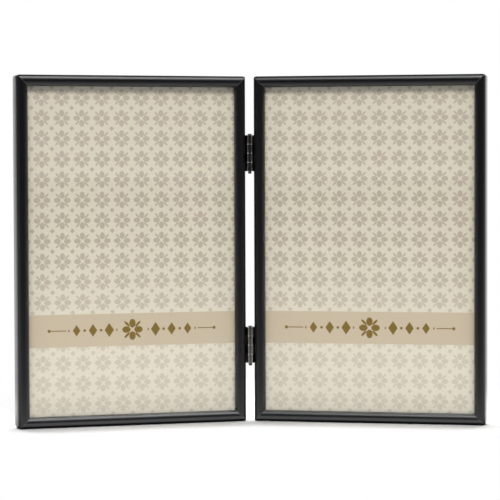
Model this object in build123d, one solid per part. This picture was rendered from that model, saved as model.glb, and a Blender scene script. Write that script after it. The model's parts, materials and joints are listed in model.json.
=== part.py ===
from build123d import *
import os

# Hinged double photo frame standing open like a book on its bottom rails.
# Millimetres, +Z up, seen from the front along +Y. The origin is the bottom centre of the box.
# One leaf is drawn in its own frame: X runs from the hinge side to the outer side,
# Y runs back from the crown of the bead, Z runs up from the bottom edge.
# That leaf is swung into place as the right leaf, and mirrored for the left leaf.

# Print and glazing
print_width = 101.6
print_height = 152.4
print_thickness = 0.4
print_clearance = 0.4
glass_thickness = 2.0
glass_clearance = 0.8
glass_edge_chamfer = 0.3

# Moulding
wall = 0.8
face_width = 5.0
bead_height = 2.4
lip_edge = 0.4
hem_thickness = 0.8
hem_width = 1.5
corner_radius = 1.5
rear_edge_radius = 0.4

# Corner angles inside the mitres
angle_arm = 12.0
angle_thickness = 0.9
angle_clearance = 0.2
angle_bend_radius = 0.5

# Back board and its velvet
board_thickness = 3.0
board_clearance = 0.3
velvet_thickness = 0.35

# Turn buttons and their rivets
button_thickness = 0.7
button_pivot_radius = 3.2
button_tip_radius = 2.3
button_tip_clearance = 0.3
button_reach = 9.4
button_play = 0.05
button_hem_gap = 0.15
button_rib_width = 1.4
button_rib_height = 0.4
button_rib_fillet = 0.18
button_rib_margin = 0.7
button_from_middle = 46.0
rivet_shank_radius = 1.0
rivet_head_radius = 1.9
rivet_head_height = 0.75
rivet_head_fillet = 0.5
rivet_tail_radius = 1.7
rivet_tail_height = 0.6
rivet_fit = 0.05

# Hinges
hinge_length = 16.2
hinge_from_middle = 43.0
hinge_sheet = 0.65
hinge_plate_margin = 0.25
hinge_plate_corner = 1.0
hinge_axis_lead = 0.5
knuckle_count = 4
knuckle_gap = 0.14
knuckle_clearance = 0.25
pin_radius = 0.6
pin_fit = 0.05
pin_head_radius = 1.0
pin_head_height = 0.5
pin_tail_radius = 0.8
pin_tail_height = 1.0
pin_end_fillet = 0.3
pin_end_gap = 0.08
hinge_rivet_radius = 0.7
hinge_rivet_head_radius = 1.2
hinge_rivet_tail_radius = 1.25
hinge_rivet_tail_height = 0.5
hinge_rivet_fit = 0.03
hinge_rivet_from_end = 3.7

# Opening angle between the two leaves as the frame stands
rest_opening = 151.0

# Worked out from the sizes above
leaf_width = print_width + 2 * (print_clearance + wall)
leaf_height = print_height + 2 * (print_clearance + wall)
hem_reach = wall + hem_width
lip_depth = bead_height + lip_edge
glass_back = lip_depth + glass_thickness
print_back = glass_back + print_thickness
board_back = print_back + board_thickness
velvet_back = board_back + velvet_thickness
button_front = velvet_back + button_play
button_back = button_front + button_thickness
hem_front = button_back + button_hem_gap
leaf_depth = hem_front + hem_thickness
board_width = leaf_width - 2 * (hem_reach + board_clearance)
board_height = leaf_height - 2 * (hem_reach + board_clearance)
button_pivot_inset = wall + button_tip_clearance + button_reach
pin_bore_radius = pin_radius + pin_fit
knuckle_radius = pin_bore_radius + hinge_sheet
knuckle_pitch = hinge_length / knuckle_count
hinge_plate_back = hem_front - hinge_plate_margin
hinge_plate_front = knuckle_radius + knuckle_clearance - hinge_axis_lead
hinge_rivet_depth = (print_back + velvet_back) / 2
leaf_swing = (180 - rest_opening) / 2
leaf_middle = Pos(leaf_width / 2, 0, leaf_height / 2)


def rod(radius, front, back):
    """Round bar along Y, from depth front to depth back, on the Y axis."""
    bar = Cylinder(radius, back - front, align=(Align.CENTER, Align.CENTER, Align.MIN))
    return Pos(0, front, 0) * Rot(-90, 0, 0) * bar


def upright_rod(radius, low, high):
    """Round bar along Z, from height low to height high, on the Z axis."""
    bar = Cylinder(radius, high - low, align=(Align.CENTER, Align.CENTER, Align.MIN))
    return Pos(0, 0, low) * bar


def sheet(outline, front, back):
    """Outline drawn in X and Z, made solid from depth front to depth back."""
    return Pos(0, front, 0) * extrude(Plane.XZ * outline, amount=back - front, dir=(0, 1, 0))


def rolled_section():
    """Section of the moulding, drawn in depth and in distance from the outer wall face."""
    bead = ThreePointArc((bead_height, 0), (0, face_width / 2), (bead_height, face_width))
    channel = Polyline(
        (bead_height, face_width),
        (lip_depth, face_width),
        (lip_depth, wall),
        (hem_front, wall),
        (hem_front, hem_reach),
        (leaf_depth, hem_reach),
        (leaf_depth, 0),
        (bead_height, 0),
    )
    section = make_face([bead, *channel.edges()])
    rear_corner = section.vertices().sort_by_distance(Vector(leaf_depth, 0, 0))[0]
    return fillet(rear_corner, rear_edge_radius)


def mitred_rail(length):
    """Rail along X with its outer wall on Z = 0, cut at 45 degrees at both ends."""
    bar = extrude(Plane.YZ * rolled_section(), amount=length / 2, both=True)
    half = length / 2
    mitre = Polyline(
        (-half, 0), (half, 0), (half - face_width, face_width), (face_width - half, face_width), close=True
    )
    return bar & sheet(make_face(mitre), 0, leaf_depth)


def leaf_rails():
    """The four mitred rails of one leaf by name."""
    outline = sheet(RectangleRounded(leaf_width, leaf_height, corner_radius), 0, leaf_depth)
    rounded = leaf_middle * outline
    placed = {
        "bottom_rail": Pos(leaf_width / 2, 0, 0) * mitred_rail(leaf_width),
        "top_rail": Pos(leaf_width / 2, 0, leaf_height) * Rot(0, 180, 0) * mitred_rail(leaf_width),
        "hinge_rail": Pos(0, 0, leaf_height / 2) * Rot(0, 90, 0) * mitred_rail(leaf_height),
        "outer_rail": Pos(leaf_width, 0, leaf_height / 2) * Rot(0, -90, 0) * mitred_rail(leaf_height),
    }
    rails = {name: rail & rounded for name, rail in placed.items()}
    hole = Rot(0, 0, -90) * rod(hinge_rivet_radius + hinge_rivet_fit, -wall, 2 * wall)
    for place in hinge_rivet_places():
        rails["hinge_rail"] -= place * hole
    return rails


def corner_angles():
    """Four bent strips, one inside each mitred corner, that hold the rails together."""
    arm = wall + angle_arm
    inner = wall + angle_thickness
    outline = Polyline(
        (wall, wall), (arm, wall), (arm, inner), (inner, inner), (inner, arm), (wall, arm), close=True
    )
    angle = sheet(make_face(outline), print_back + angle_clearance, hem_front)
    bend = angle.edges().filter_by(Axis.Y).sort_by_distance(Vector(inner, print_back, inner))[0]
    angle = fillet(bend, angle_bend_radius)
    turns = {(0, 0): 0, (leaf_width, 0): -90, (leaf_width, leaf_height): 180, (0, leaf_height): 90}
    return [Pos(x, 0, z) * Rot(0, turn, 0) * angle for (x, z), turn in turns.items()]


def glass_pane():
    """Clear pane seated against the back of the lip."""
    inset = 2 * (wall + glass_clearance)
    pane = sheet(Rectangle(leaf_width - inset, leaf_height - inset), lip_depth, glass_back)
    return leaf_middle * chamfer(pane.edges(), glass_edge_chamfer)


def print_card():
    """Printed card between the glass and the back board."""
    return leaf_middle * sheet(Rectangle(print_width, print_height), glass_back, print_back)


def button_places():
    """Pivot of each turn button by name, with the turn that points its tip under the hem."""
    places = {}
    for level, side in (("upper", 1), ("lower", -1)):
        height = leaf_height / 2 + side * button_from_middle
        places[f"{level}_outer"] = Pos(leaf_width - button_pivot_inset, 0, height)
        places[f"{level}_hinge"] = Pos(button_pivot_inset, 0, height) * Rot(0, 180, 0)
    return places


def back_board():
    """Hard board that drops through the hem and presses the print forward."""
    board = leaf_middle * sheet(Rectangle(board_width, board_height), print_back, board_back)
    tail_seat = rod(rivet_tail_radius + rivet_fit, print_back, print_back + rivet_tail_height)
    hole = rod(rivet_shank_radius + rivet_fit, print_back, board_back)
    for place in button_places().values():
        board -= place * (hole + tail_seat)
    return board


def velvet_cover():
    """Pile cover on the rear face of the back board."""
    cover = leaf_middle * sheet(Rectangle(board_width, board_height), board_back, velvet_back)
    hole = rod(rivet_shank_radius + rivet_fit, board_back, velvet_back)
    for place in button_places().values():
        cover -= place * hole
    return cover


def turn_button():
    """Stamped tab that swivels on its rivet, with its tip towards +X."""
    tip = Pos(button_reach - button_tip_radius, 0) * Circle(button_tip_radius)
    pivot = Circle(button_pivot_radius)
    plate = sheet(make_hull(pivot.edges() + tip.edges()), button_front, button_back)
    rib_start = rivet_head_radius + button_rib_margin
    rib_end = button_reach - button_tip_clearance - hem_width - button_rib_margin
    rib_length = rib_end - rib_start
    rib_outline = Pos((rib_start + rib_end) / 2, 0) * SlotOverall(rib_length, button_rib_width)
    rib = sheet(rib_outline, button_front, button_back + button_rib_height)
    crest = rib.faces().sort_by(Axis.Y)[-1]
    rib = fillet(crest.edges(), button_rib_fillet)
    return plate + rib - rod(rivet_shank_radius + rivet_fit, button_front, button_back)


def button_rivet():
    """Rivet through the board, the velvet and one turn button."""
    head_front = button_back + button_play
    head = rod(rivet_head_radius, head_front, head_front + rivet_head_height)
    rim = head.edges().filter_by(GeomType.CIRCLE).sort_by(Axis.Y)[-1]
    head = fillet(rim, rivet_head_fillet)
    tail = rod(rivet_tail_radius, print_back, print_back + rivet_tail_height)
    return head + tail + rod(rivet_shank_radius, print_back, head_front)


def hinge_rivet_places():
    """Where each hinge rivet goes through the outer wall of the hinge rail."""
    places = []
    for side in (1, -1):
        middle = leaf_height / 2 + side * hinge_from_middle
        for end in (1, -1):
            height = middle + end * (hinge_length / 2 - hinge_rivet_from_end)
            places.append(Pos(0, hinge_rivet_depth, height))
    return places


def hinge_rivet():
    """Countersunk rivet along X: flush in the hinge plate, upset inside the channel."""
    cone = Cone(
        hinge_rivet_radius, hinge_rivet_head_radius, hinge_sheet, align=(Align.CENTER, Align.CENTER, Align.MIN)
    )
    head = Rot(0, -90, 0) * cone
    shank = Rot(0, 0, -90) * rod(hinge_rivet_radius, 0, wall)
    tail = Rot(0, 0, -90) * rod(hinge_rivet_tail_radius, wall, wall + hinge_rivet_tail_height)
    return head + shank + tail


def hinge_plate(middle, knuckles):
    """Plate on the outer wall of the hinge rail, rolled round the pin at the given knuckles."""
    low = middle - hinge_length / 2
    plate = Rectangle(hinge_plate_back - hinge_plate_front, hinge_length)
    rear = plate.vertices().sort_by(Axis.X)[-2:]
    plate = fillet(rear, hinge_plate_corner)
    plate_middle = (hinge_plate_front + hinge_plate_back) / 2
    solid = extrude(Plane.YZ * Pos(plate_middle, middle) * plate, amount=-hinge_sheet)
    axis = Pos(-knuckle_radius, -hinge_axis_lead, 0)
    neck_length = hinge_plate_front + hinge_axis_lead
    for number in knuckles:
        base = low + number * knuckle_pitch + knuckle_gap / 2
        height = knuckle_pitch - knuckle_gap
        neck = Box(hinge_sheet, neck_length, height, align=(Align.MAX, Align.MIN, Align.MIN))
        solid += Pos(0, -hinge_axis_lead, base) * neck
        solid += axis * upright_rod(knuckle_radius, base, base + height)
    solid -= axis * upright_rod(pin_bore_radius, low, low + hinge_length)
    for place in hinge_rivet_places():
        solid -= place * hinge_rivet()
    return solid


def hinge_pin(middle):
    """Pin on the hinge axis, headed at the top and upset at the bottom."""
    low = middle - hinge_length / 2 - pin_end_gap
    high = middle + hinge_length / 2 + pin_end_gap
    head = upright_rod(pin_head_radius, high, high + pin_head_height)
    head = fillet(head.edges().filter_by(GeomType.CIRCLE).sort_by(Axis.Z)[-1], pin_end_fillet)
    tail = upright_rod(pin_tail_radius, low - pin_tail_height, low)
    tail = fillet(tail.edges().filter_by(GeomType.CIRCLE).sort_by(Axis.Z)[0], pin_end_fillet)
    return head + tail + upright_rod(pin_radius, low, high)


def leaf_nodes(knuckles):
    """Every piece of one leaf, in the leaf's own frame, as lists of solids by name."""
    nodes = {name: [rail] for name, rail in leaf_rails().items()}
    nodes["corner_angles"] = corner_angles()
    nodes["glass"] = [glass_pane()]
    nodes["print"] = [print_card()]
    nodes["back_board"] = [back_board()]
    nodes["velvet"] = [velvet_cover()]
    nodes["button_rivets"] = [place * button_rivet() for place in button_places().values()]
    for name, place in button_places().items():
        nodes[f"{name}_turn_button"] = [place * turn_button()]
    for level, side in (("upper", 1), ("lower", -1)):
        middle = leaf_height / 2 + side * hinge_from_middle
        nodes[f"{level}_hinge_plate"] = [hinge_plate(middle, knuckles)]
    nodes["hinge_rivets"] = [place * hinge_rivet() for place in hinge_rivet_places()]
    return nodes


# Swing the leaf about the hinge axis, then move the axis so that the box is centred front to back
swung = Rot(0, 0, -leaf_swing) * Pos(knuckle_radius, hinge_axis_lead, 0)
even_knuckles = range(0, knuckle_count, 2)
odd_knuckles = range(1, knuckle_count, 2)
right_leaf = leaf_nodes(even_knuckles)
left_leaf = leaf_nodes(odd_knuckles)
box = Compound([swung * rail for name in right_leaf for rail in right_leaf[name]]).bounding_box()
axis_y = -(box.min.Y + box.max.Y) / 2
in_place = Pos(0, axis_y, 0) * swung

nodes = {}
for name, solids in right_leaf.items():
    nodes[f"right_{name}"] = [in_place * solid for solid in solids]
for name, solids in left_leaf.items():
    nodes[f"left_{name}"] = [mirror(in_place * solid, about=Plane.YZ) for solid in solids]
for level, side in (("upper", 1), ("lower", -1)):
    middle = leaf_height / 2 + side * hinge_from_middle
    nodes[f"{level}_hinge_pin"] = [Pos(0, axis_y, 0) * hinge_pin(middle)]

os.makedirs("parts", exist_ok=True)
for name, solids in nodes.items():
    shape = solids[0] if len(solids) == 1 else Compound(solids)
    export_step(shape, f"parts/{name}.step")

# Places that the record repeats
print("leaf", leaf_width, leaf_height, leaf_depth)
print("hinge axis y", round(axis_y, 4))
for name, place in button_places().items():
    pivot = (in_place * place).position
    print(f"right_{name} pivot", round(pivot.X, 4), round(pivot.Y, 4), round(pivot.Z, 4))
foot = (in_place * Pos(leaf_width / 2, (bead_height + leaf_depth) / 2, 0)).position
print("right foot", round(foot.X, 4), round(foot.Y, 4), round(foot.Z, 4))
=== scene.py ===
"""Dresses a hinged double photo frame: rails, hinges, turn buttons and velvet round the solid parts."""
import json
import math

import bmesh
import bpy
from bpy.props import FloatProperty, FloatVectorProperty, IntProperty, PointerProperty
from mathutils import Matrix, Vector


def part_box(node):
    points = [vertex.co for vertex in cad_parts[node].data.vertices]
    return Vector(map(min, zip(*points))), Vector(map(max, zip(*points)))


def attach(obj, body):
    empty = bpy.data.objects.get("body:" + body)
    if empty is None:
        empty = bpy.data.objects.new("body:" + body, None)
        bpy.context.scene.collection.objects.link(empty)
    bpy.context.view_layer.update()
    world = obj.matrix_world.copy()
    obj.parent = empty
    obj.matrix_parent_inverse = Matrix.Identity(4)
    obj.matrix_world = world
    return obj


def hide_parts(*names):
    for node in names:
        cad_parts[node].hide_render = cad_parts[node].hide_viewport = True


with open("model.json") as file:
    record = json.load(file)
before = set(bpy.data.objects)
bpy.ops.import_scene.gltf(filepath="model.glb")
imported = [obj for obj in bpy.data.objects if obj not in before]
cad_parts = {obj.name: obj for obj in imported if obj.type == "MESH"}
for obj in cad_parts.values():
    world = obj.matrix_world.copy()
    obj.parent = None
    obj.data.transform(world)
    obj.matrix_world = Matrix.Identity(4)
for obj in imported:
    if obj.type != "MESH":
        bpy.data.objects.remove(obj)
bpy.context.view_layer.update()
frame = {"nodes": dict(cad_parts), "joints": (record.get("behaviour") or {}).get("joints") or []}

bl_info = {
    "name": "Hinged Photo Frame",
    "version": (1, 0, 0),
    "blender": (4, 5, 0),
    "location": "3D View > Sidebar > Photo Frame",
    "description": "Models and finishes a hinged double photo frame around its solid parts",
    "category": "Object",
}

MM = 0.001
QUARTER_TURN = math.pi / 2

# Places read from the frame.
# A leaf is worked in its own frame: X from the hinge axis to the outer side, Y to the back, Z up.
SIDES = {"left": -1, "right": 1}
LEVELS = ("upper", "lower")
RAILS = ("top_rail", "bottom_rail", "outer_rail", "hinge_rail")
JOINTS = {joint["name"]: joint for joint in frame["joints"]}
AXIS_DEPTH = JOINTS["leaf_fold"]["pos_m"][1]
LEAF_NORMAL = JOINTS["right_upper_outer_turn"]["axis"]
LEAF_SWING = math.atan2(LEAF_NORMAL[0], LEAF_NORMAL[1])


def leaf_place(side):
    """Matrix from a leaf's own frame to the world, mirrored for the left leaf."""
    swung = Matrix.Translation((0, AXIS_DEPTH, 0)) @ Matrix.Rotation(-LEAF_SWING, 4, "Z")
    return Matrix.Scale(SIDES[side], 4, (1, 0, 0)) @ swung


def leaf_points(node):
    """Corners of a solid part's mesh in its leaf's own frame."""
    back = leaf_place(node.split("_")[0]).inverted()
    return [back @ corner.co for corner in frame["nodes"][node].data.vertices]


def box_of(points):
    """Lowest and highest corner of some points."""
    low = Vector(min(point[axis] for point in points) for axis in range(3))
    high = Vector(max(point[axis] for point in points) for axis in range(3))
    return low, high


def leaf_box(node):
    """Lowest and highest corner of a solid part in its leaf's own frame."""
    return box_of(leaf_points(node))


LEAF_LOW, LEAF_HIGH = box_of([point for rail in RAILS for point in leaf_points(f"right_{rail}")])
LEAF_WIDTH = LEAF_HIGH.x - LEAF_LOW.x
LEAF_HEIGHT = LEAF_HIGH.z - LEAF_LOW.z
LEAF_DEPTH = LEAF_HIGH.y - LEAF_LOW.y
LEAF_MIDDLE = (LEAF_LOW + LEAF_HIGH) / 2

# Sides of round forms.
TAB_STEPS = 64
RIVET_STEPS = 48

# Angles between two faces: an edge is dissolved below the first, shaded sharp above the second
# and rounded above the third.
FLAT_ANGLE = math.radians(0.5)
SMOOTH_ANGLE = math.radians(32)
BEVEL_ANGLE = math.radians(40)

# Opening at the back of the dark room, in parts of its radius.
OPENING_DEPTH = 0.35
OPENING_HEIGHT = 0.55
OPENING_LEFT = -0.55

# Soft panels by name: place, size, the setting that holds the power, and the rays that don't show them.
PANELS = {
    "key_softbox": ((0.0, -0.95, 0.96), (0.9, 0.4), "key_power", "glossy"),
    "rear_panel": ((0.0, 0.22, 1.30), (0.6, 0.3), "rear_power", "glossy"),
    "gloss_panel": ((0.20, -0.48, 1.22), (1.4, 0.75), "gloss_power", "diffuse"),
}


def length(default, name, description):
    """Setting for a length in metres."""
    return FloatProperty(name=name, description=description, default=default, unit="LENGTH", precision=5)


def angle(degrees, name, description):
    """Setting for an angle, with its default in degrees."""
    return FloatProperty(name=name, description=description, default=math.radians(degrees), subtype="ANGLE")


def power(default, name, description):
    """Setting for a lamp's power in watts."""
    return FloatProperty(name=name, description=description, default=default, unit="POWER")


def count(default, name, description):
    """Setting for a whole number."""
    return IntProperty(name=name, description=description, default=default)


def colour(default, name, description):
    """Setting for a colour, with its default in scene-linear values."""
    return FloatVectorProperty(
        name=name, description=description, default=default, size=3, min=0, max=1, subtype="COLOR"
    )


def linear(red, green, blue):
    """Scene-linear colour of a colour written in the usual 0 to 255 steps."""
    shares = (red / 255, green / 255, blue / 255)
    return tuple(s / 12.92 if s <= 0.04045 else ((s + 0.055) / 1.055) ** 2.4 for s in shares)


class RailSizes(bpy.types.PropertyGroup):
    """Section and finish of the mitred rails."""

    face_width: length(5.0 * MM, "Face Width", "Width of the bead as seen from the front")
    bead_height: length(2.4 * MM, "Bead Height", "Depth of the round bead")
    lip_edge: length(0.4 * MM, "Lip Edge", "Flat edge of the lip behind the bead")
    wall: length(0.8 * MM, "Wall", "Thickness of the outer wall")
    hem_width: length(1.5 * MM, "Hem Width", "Reach of the rear hem past the wall")
    hem_thickness: length(0.8 * MM, "Hem Thickness", "Thickness of the rear hem")
    rear_radius: length(0.4 * MM, "Rear Radius", "Rounding of the rear outer edge")
    corner_radius: length(1.5 * MM, "Corner Radius", "Rounding of the leaf's outer corners")
    edge_softness: length(0.1 * MM, "Edge Softness", "Width of the small bevel on sharp edges")
    mitre_gap: length(0.04 * MM, "Mitre Gap", "Hairline between two mitred rails")
    seam_width: length(0.16 * MM, "Seam Width", "Half width of the pale line along a mitre")
    bead_steps: count(96, "Bead Steps", "Sides of the circle of the bead")
    corner_steps: count(6, "Corner Steps", "Flats along a rounded corner")
    lacquer: colour((0.0028, 0.0030, 0.0040), "Lacquer", "Colour of the black lacquer")
    # Pale colour along the mitres: worn lacquer there, and a painted highlight where the mitre catches light.
    seam: colour((0.13, 0.13, 0.135), "Seam", "Colour of the lacquer where it breaks at the mitres")


class PrintDesign(bpy.types.PropertyGroup):
    """Colours and sizes of the pattern on the printed cards."""

    # The paper is darker at the top and lighter at the bottom: painted light on the paper's own colour.
    ground_top_shaded: colour(linear(218, 209, 190), "Upper Ground", "Paper colour at the top")
    ground_bottom_lit: colour(linear(226, 218, 201), "Lower Ground", "Paper colour at the bottom")
    motif: colour(linear(181, 171, 150), "Motif", "Colour of the rosettes")
    motif_warm: colour(linear(186, 170, 156), "Warm Motif", "Colour of the rosettes where the ink is redder")
    band: colour(linear(203, 187, 163), "Band", "Colour of the plain band")
    gold: colour(linear(124, 98, 34), "Gold", "Colour of the ornament on the band")
    pitch: length(9.0 * MM, "Pitch", "Distance from one rosette to the next")
    band_bottom: length(35.2 * MM, "Band Bottom", "Height of the band's lower edge above the foot")
    band_height: length(14.4 * MM, "Band Height", "Height of the band")


class HingeSizes(bpy.types.PropertyGroup):
    """Sizes and finish of the two butt hinges."""

    sheet: length(0.65 * MM, "Sheet", "Thickness of the rolled sheet")
    knuckle_gap: length(0.14 * MM, "Knuckle Gap", "Gap between two knuckles")
    knuckle_clearance: length(0.25 * MM, "Knuckle Clearance", "Gap between the plate and a knuckle")
    plate_corner: length(1.0 * MM, "Plate Corner", "Rounding of the plate's rear corners")
    edge_softness: length(0.13 * MM, "Edge Softness", "Width of the small bevel on sharp edges")
    curl: angle(318, "Curl", "How far the sheet rolls round the pin")
    knuckles: count(4, "Knuckles", "Knuckles of one hinge")
    steps: count(40, "Steps", "Sides of a knuckle, a pin or a rivet")
    pin_radius: length(0.6 * MM, "Pin Radius", "Radius of the pin")
    rivet_radius: length(1.2 * MM, "Rivet Radius", "Radius of a rivet head")
    rivet_proud: length(0.05 * MM, "Rivet Proud", "How far a rivet head stands off the plate")
    steel: colour((0.39, 0.362, 0.343), "Steel", "Colour of the gunmetal")
    worn: colour((0.90, 0.88, 0.85), "Worn Steel", "Colour of the steel where the finish is rubbed off")
    wear_width: length(0.22 * MM, "Wear Width", "How far the wear reaches from the end of a knuckle")


class ButtonSizes(bpy.types.PropertyGroup):
    """Sizes and finish of the turn buttons and their rivets."""

    pivot_radius: length(3.2 * MM, "Pivot Radius", "Radius of the round end on the rivet")
    tip_radius: length(2.3 * MM, "Tip Radius", "Radius of the tip")
    thickness: length(0.7 * MM, "Thickness", "Thickness of the stamped sheet")
    edge_softness: length(0.16 * MM, "Edge Softness", "Rounding of the stamped edges")
    rib_width: length(1.4 * MM, "Rib Width", "Width of the raised rib")
    rib_start: length(2.6 * MM, "Rib Start", "Distance from the pivot to the rib")
    rib_length: length(4.3 * MM, "Rib Length", "Length of the rib")
    hole_radius: length(1.05 * MM, "Hole Radius", "Radius of the hole for the rivet")
    shank_radius: length(1.0 * MM, "Shank Radius", "Radius of the rivet's shank")
    head_radius: length(1.9 * MM, "Head Radius", "Radius of the rivet's head")
    head_height: length(0.75 * MM, "Head Height", "Height of the rivet's head")
    brass: colour((0.66, 0.46, 0.19), "Brass", "Colour of the plated brass")
    tarnish: colour((0.34, 0.21, 0.08), "Tarnish", "Colour of the tarnished brass")


class BackSizes(bpy.types.PropertyGroup):
    """Dimples in the velvet, and finish of the velvet, the boards and the corner angles."""

    dimple_depth: length(0.12 * MM, "Dimple Depth", "How far a rivet draws the velvet in")
    dimple_reach: length(6.0 * MM, "Dimple Reach", "How far round a rivet the velvet is drawn in")
    velvet: colour((0.010, 0.010, 0.012), "Velvet", "Colour of the pile")
    # Lighter nap colour: painted sheen where the pile is brushed over.
    nap_and_sheen: colour((0.060, 0.060, 0.067), "Nap", "Colour of the pile where it is brushed over")
    board: colour((0.30, 0.19, 0.10), "Board", "Colour of the pressed board")
    zinc: colour((0.56, 0.57, 0.58), "Zinc", "Colour of the zinc plating")


class StageSetup(bpy.types.PropertyGroup):
    """Camera, floor and soft light."""

    camera_place: FloatVectorProperty(
        name="Camera Place",
        description="Where the camera stands",
        default=(-0.0482, -1.0165, 0.1148),
        size=3,
        subtype="TRANSLATION",
    )
    camera_turn: angle(2.693, "Camera Turn", "Turn to the right")
    camera_tilt: angle(2.108, "Camera Tilt", "Tilt below the horizon")
    camera_roll: angle(-0.188, "Camera Roll", "Roll about the view")
    lens: FloatProperty(name="Lens", description="Focal length in millimetres", default=164.85)
    floor_size: length(30.0, "Floor Size", "Width of the floor")
    shadow_reach: length(0.24, "Shadow Reach", "How far from the object the floor shows a shadow")
    front_pool: length(0.29, "Front Pool", "Distance in front at which the mirrored floor darkens")
    close_pool: length(0.08, "Close Pool", "Distance in front within which the floor throws light back")
    edge_pool: length(0.045, "Edge Pool", "Distance in front within which the mirrored floor is brightest")
    fill: FloatProperty(name="Fill", description="Level of the even light from all round", default=0.22)
    key_power: power(13.6, "Key Power", "Power of the softbox above the camera")
    rear_power: power(38.0, "Rear Power", "Power of the panel over the back")
    gloss_power: power(14.5, "Gloss Power", "Power of the overhead panel that only the gloss shows")
    room_radius: length(3.0, "Room Radius", "Distance of the dark room round the set")
    room: colour((0.028, 0.029, 0.034), "Room", "Colour of the dark room")
    floor: colour((0.62, 0.62, 0.62), "Floor", "Colour of the floor")
    back_floor: colour((0.385, 0.385, 0.385), "Back Floor", "Colour of the floor behind, under more light")
    far_floor: colour((0.15, 0.15, 0.15), "Far Floor", "Colour of the light that the floor throws from afar")


def math_method(kind, swapped=False):
    """Method of a wire that adds one Math node for itself and another value."""
    def method(self, other):
        return self.math(kind, other, self) if swapped else self.math(kind, self, other)
    return method


class Wire:
    """One socket of a node tree, so that shader maths reads as Python."""

    __add__ = __radd__ = math_method("ADD")
    __sub__ = math_method("SUBTRACT")
    __rsub__ = math_method("SUBTRACT", swapped=True)
    __mul__ = __rmul__ = math_method("MULTIPLY")
    __truediv__ = math_method("DIVIDE")
    __rtruediv__ = math_method("DIVIDE", swapped=True)
    __pow__ = math_method("POWER")
    __mod__ = math_method("FLOORED_MODULO")
    least = math_method("MINIMUM")
    most = math_method("MAXIMUM")

    def __init__(self, tree, socket=None):
        self.tree = tree
        self.socket = socket

    def node(self, kind, settings=None, inputs=None, output=0):
        """Add a node, set it up, feed its sockets and give back one of its outputs."""
        made = self.tree.nodes.new(kind)
        for name, value in (settings or {}).items():
            setattr(made, name, value)
        for name, value in (inputs or {}).items():
            if isinstance(value, Wire):
                self.tree.links.new(value.socket, made.inputs[name])
            else:
                made.inputs[name].default_value = value
        return Wire(self.tree, made.outputs[output] if len(made.outputs) else None)

    def math(self, kind, *values):
        """Result of a Math node on some values."""
        return self.node("ShaderNodeMath", {"operation": kind}, dict(enumerate(values)))

    def __abs__(self):
        return self.math("ABSOLUTE", self)

    def rising(self, low, high):
        """0 below low, 1 above high, and smooth between."""
        return self.node(
            "ShaderNodeMapRange",
            {"interpolation_type": "SMOOTHSTEP"},
            {"Value": self, "From Min": low, "From Max": high},
        )

    def below(self, edge, softness):
        """1 below the edge and 0 above it, over a soft step."""
        return 1 - self.rising(edge - softness, edge + softness)

    def parts(self):
        """X, Y and Z of a vector."""
        split = self.node("ShaderNodeSeparateXYZ", None, {0: self}).socket.node
        return [Wire(self.tree, socket) for socket in split.outputs]

    def noise(self, size, detail=2, roughness=0.5, stretch=(1, 1, 1)):
        """Even noise with features of about that size."""
        scaled = self.node("ShaderNodeMapping", None, {"Vector": self, "Scale": stretch})
        sockets = {"Vector": scaled, "Scale": 1 / size, "Detail": detail, "Roughness": roughness}
        return self.node("ShaderNodeTexNoise", None, sockets)

    def blend(self, first, second):
        """Mix of two colours, with this value as the share of the second."""
        return self.node("ShaderNodeMix", {"data_type": "RGBA"}, {0: self, 6: first, 7: second}, 2)

    def bump(self, depth, strength):
        """Normal of a surface with this height, in parts of the depth."""
        return self.node("ShaderNodeBump", None, {"Height": self, "Distance": depth, "Strength": strength})


def solid(values):
    """A colour with full alpha, as a socket takes it."""
    return (*values, 1.0)


def new_material(name, build, *settings):
    """Material whose surface the build function wires up."""
    material = bpy.data.materials.new(name)
    material.use_nodes = True
    tree = material.node_tree
    tree.nodes.clear()
    surface = build(Wire(tree), *settings)
    Wire(tree).node("ShaderNodeOutputMaterial", None, {"Surface": surface})
    return material


def place_on_piece(wire):
    """The piece's own coordinates."""
    return wire.node("ShaderNodeTexCoord", None, None, "Object")


def place_on_leaf(wire):
    """Distance from the hinge axis, depth and height on a leaf; both leaves read alike."""
    across, depth, height = place_on_piece(wire).parts()
    across = abs(across)
    depth = depth - AXIS_DEPTH
    along = across * math.cos(LEAF_SWING) - depth * math.sin(LEAF_SWING)
    behind = across * math.sin(LEAF_SWING) + depth * math.cos(LEAF_SWING)
    return along, behind, height


def principled(wire, **sockets):
    """Principled surface, with underscores for the spaces in the socket names."""
    inputs = {name.replace("_", " "): value for name, value in sockets.items()}
    return wire.node("ShaderNodeBsdfPrincipled", None, inputs)


def lacquer_surface(wire, rails):
    """Black lacquer with a faint orange peel, smoother walls and a pale broken line along the mitres: worn
    lacquer and a painted highlight.
    """
    bead_roughness = 0.30
    wall_polish = 0.23
    polish_end = LEAF_DEPTH * 0.85
    coords = place_on_piece(wire)
    along, behind, height = place_on_leaf(wire)
    on_wall = (behind - LEAF_LOW.y).rising(rails.bead_height, polish_end)
    from_side = (along - LEAF_LOW.x).least(LEAF_HIGH.x - along)
    from_end = (height - LEAF_LOW.z).least(LEAF_HIGH.z - height)
    broken = coords.noise(1.2 * MM, detail=3).rising(0.25, 0.55)
    off_mitre = abs(from_side - from_end)
    # Pale broken line along each mitre: worn lacquer and a painted highlight.
    seam = off_mitre.below(rails.seam_width * 0.7, rails.seam_width * 0.6) * broken
    cloud = coords.noise(9 * MM, detail=3)
    peel = coords.noise(0.7 * MM, detail=1)
    scratch = coords.noise(0.25 * MM, roughness=0.6, stretch=(1, 1, 0.08))
    smooth = bead_roughness - on_wall * wall_polish
    return principled(
        wire,
        Base_Color=seam.blend(solid(rails.lacquer), solid(rails.seam)),
        Roughness=smooth + cloud * 0.06 + scratch * 0.04 + seam * 0.15,
        Specular_IOR_Level=0.9,
        Normal=peel.bump(0.004 * MM, strength=0.5),
    )


def oval(along, across, middle, half_long, half_wide):
    """Distance-like value of an oval: below 1 inside."""
    return ((along - middle) / half_long) ** 2 + (across / half_wide) ** 2


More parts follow.
